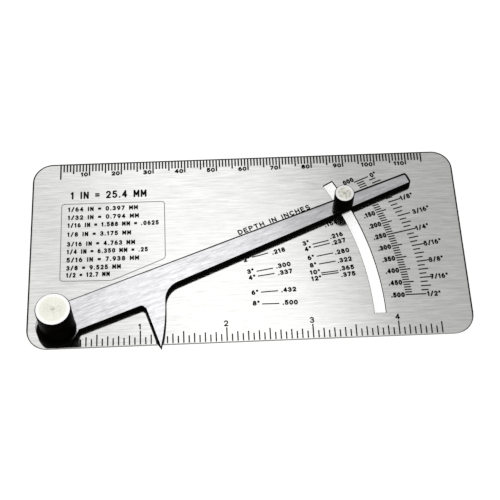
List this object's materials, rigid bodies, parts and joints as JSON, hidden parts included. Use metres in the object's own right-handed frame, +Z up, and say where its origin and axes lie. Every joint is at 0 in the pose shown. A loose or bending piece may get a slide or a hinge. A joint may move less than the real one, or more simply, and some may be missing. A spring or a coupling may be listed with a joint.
{
  "type": "pit depth gauge",
  "caption": "Flat steel plate with rules on both long edges, a pivoted lever with a pointed spur that measures pit depth on an arc scale, and a clamp knob in an arc slot.",
  "frame": {"origin": "middle of the gauge's footprint, on the surface that its screw heads rest on", "axes": "+X along the plate away from the pivot, +Y across it from the measuring edge to the millimetre rule, +Z up out of the ruled face"},
  "size_m": [0.1322, 0.0658, 0.0153],
  "materials": {
    "plate_steel": "brushed along the plate's length",
    "lever_steel": "brushed along the lever",
    "knob_steel": "turned, with a faced top",
    "fastener_steel": "plain machined",
    "shim_brass": "rolled sheet",
    "mark_ink": "black etched marks"
  },
  "bodies": {
    "plate": {"base_plate": "plate_steel", "pivot_screw": "fastener_steel", "pivot_shim": "shim_brass"},
    "lever": {"lever_arm": "lever_steel", "clamp_screw": "fastener_steel"},
    "pivot_knob": {"pivot_knob": "knob_steel"},
    "clamp_knob": {"clamp_knob": "knob_steel"}
  },
  "joints": [
    {"name": "lever_swing", "type": "hinge", "parent": "plate", "child": "lever", "pos_m": [-0.05658, -0.02449, 0.00325], "axis": [0, 0, 1], "range_deg": [-22, 4.5]},
    {"name": "pivot_knob_turn", "type": "hinge", "parent": "plate", "child": "pivot_knob", "pos_m": [-0.05658, -0.02449, 0.00975], "axis": [0, 0, 1], "range_deg": [0, 360]},
    {"name": "clamp_knob_turn", "type": "hinge", "parent": "lever", "child": "clamp_knob", "pos_m": [0.03043, 0.01391, 0.007], "axis": [0, 0, 1], "range_deg": [0, 360]}
  ]
}
